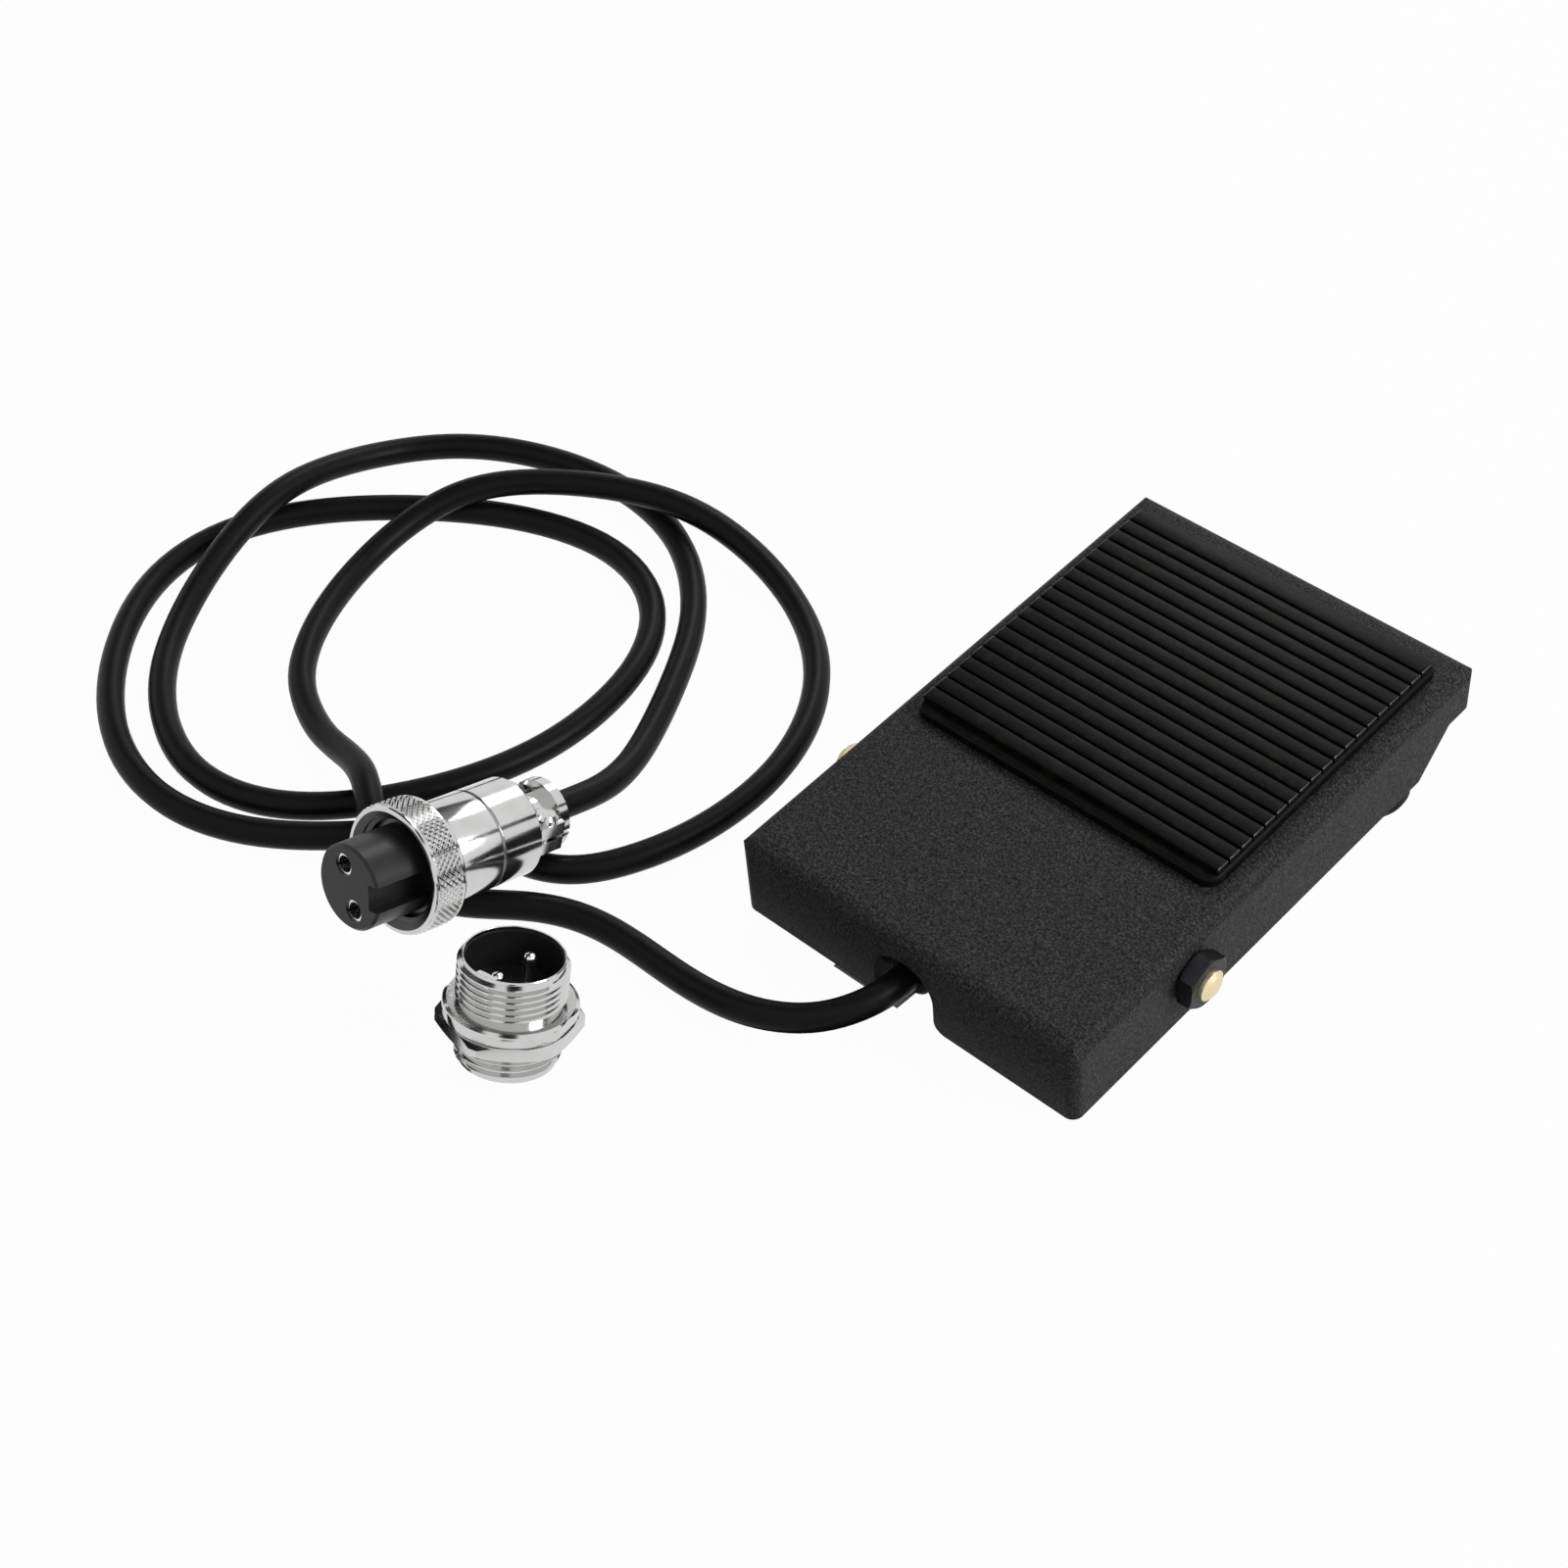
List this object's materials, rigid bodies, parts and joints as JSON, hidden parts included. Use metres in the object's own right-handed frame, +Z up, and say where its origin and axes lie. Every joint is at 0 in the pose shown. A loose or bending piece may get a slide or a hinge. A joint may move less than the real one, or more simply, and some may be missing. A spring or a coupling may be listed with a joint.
{
  "type": "foot pedal switch",
  "caption": "Small rocking foot pedal of folded sheet steel with a ribbed rubber tread, a snap-action switch inside, a cord, a screw-coupled plug and its panel socket.",
  "frame": {"origin": "on the ground, under the middle of the pedal", "axes": "+X towards the side of the pivot nut, +Y from the cable end to the tread end, +Z up"},
  "size_m": [0.1949, 0.1488, 0.0282],
  "materials": {
    "powder_coat": "charcoal powder coat with a fine light fleck",
    "tread_rubber": "moulded black rubber, half-gloss on the rib tops",
    "black_rubber": "moulded black rubber",
    "zinc_steel": "bright zinc plate",
    "yellow_zinc": "yellow passivated zinc plate",
    "black_oxide": "black oxide",
    "spring_steel": "bare spring wire",
    "nylon": "natural nylon",
    "switch_black": "moulded thermoset",
    "plunger_red": "moulded plastic",
    "terminal_brass": "bright brass",
    "cord_black": "black PVC jacket",
    "lead_brown": "PVC insulation",
    "lead_blue": "PVC insulation",
    "nickel": "bright nickel plate",
    "insert_black": "moulded phenolic",
    "pin_silver": "silver plate"
  },
  "bodies": {
    "base": {"base_tray": "powder_coat", "rubber_feet": "black_rubber", "foot_screws": "zinc_steel", "foot_nuts": "zinc_steel", "pivot_bolt": "yellow_zinc", "pivot_nut": "black_oxide", "pivot_spacers": "nylon", "stop_post": "zinc_steel", "stop_cap": "black_rubber", "return_spring": "spring_steel", "rest_bumpers": "black_rubber", "switch_bracket": "zinc_steel", "bracket_rivets": "zinc_steel", "switch_case": "switch_black", "switch_terminals": "terminal_brass", "lever_pin": "zinc_steel", "switch_screws": "zinc_steel", "switch_nuts": "zinc_steel", "cable_grommet": "black_rubber", "cable_tail": "cord_black", "cable_clamp": "zinc_steel", "clamp_screws": "zinc_steel", "clamp_nuts": "zinc_steel", "lead_brown": "lead_brown", "lead_blue": "lead_blue", "cord": "cord_black", "plug_insert": "insert_black", "plug_contacts": "pin_silver", "plug_barrel": "nickel", "plug_back_shell": "nickel", "plug_clamp_saddle": "nickel", "plug_clamp_screws": "nickel", "socket_shell": "nickel", "socket_insert": "insert_black", "socket_pins": "pin_silver", "socket_nut": "nickel"},
    "pedal": {"pedal_cover": "powder_coat", "tread_pad": "tread_rubber", "press_finger": "zinc_steel", "spring_cup": "zinc_steel"},
    "lever": {"switch_lever": "zinc_steel"},
    "plunger": {"switch_plunger": "plunger_red"},
    "ring": {"coupling_ring": "nickel"}
  },
  "joints": [
    {"name": "pedal_press", "type": "hinge", "parent": "base", "child": "pedal", "pos_m": [0, -0.02139, 0.012], "axis": [-1, 0, 0], "range_deg": [0, 4.5], "stiffness_Nm_per_rad": 5.8, "springref_deg": -4.58, "deforming": ["return_spring"]},
    {"name": "lever_swing", "type": "hinge", "parent": "base", "child": "lever", "pos_m": [0.0112, -0.00599, 0.0164], "axis": [-1, 0, 0], "range_deg": [0, 9]},
    {"name": "plunger_travel", "type": "slide", "parent": "base", "child": "plunger", "axis": [0, 0, -1], "range_m": [0, 0.00095]},
    {"name": "ring_spin", "type": "hinge", "parent": "base", "child": "ring", "pos_m": [-0.06353, -0.08423, 0.01507], "axis": [0.0337, 0.9653, -0.2588], "continuous": true}
  ],
  "couplings": [
    {"joint": "lever_swing", "follows": "pedal_press", "ratio": 2},
    {"joint": "plunger_travel", "follows": "pedal_press", "m_per_rad": 0.011951}
  ]
}
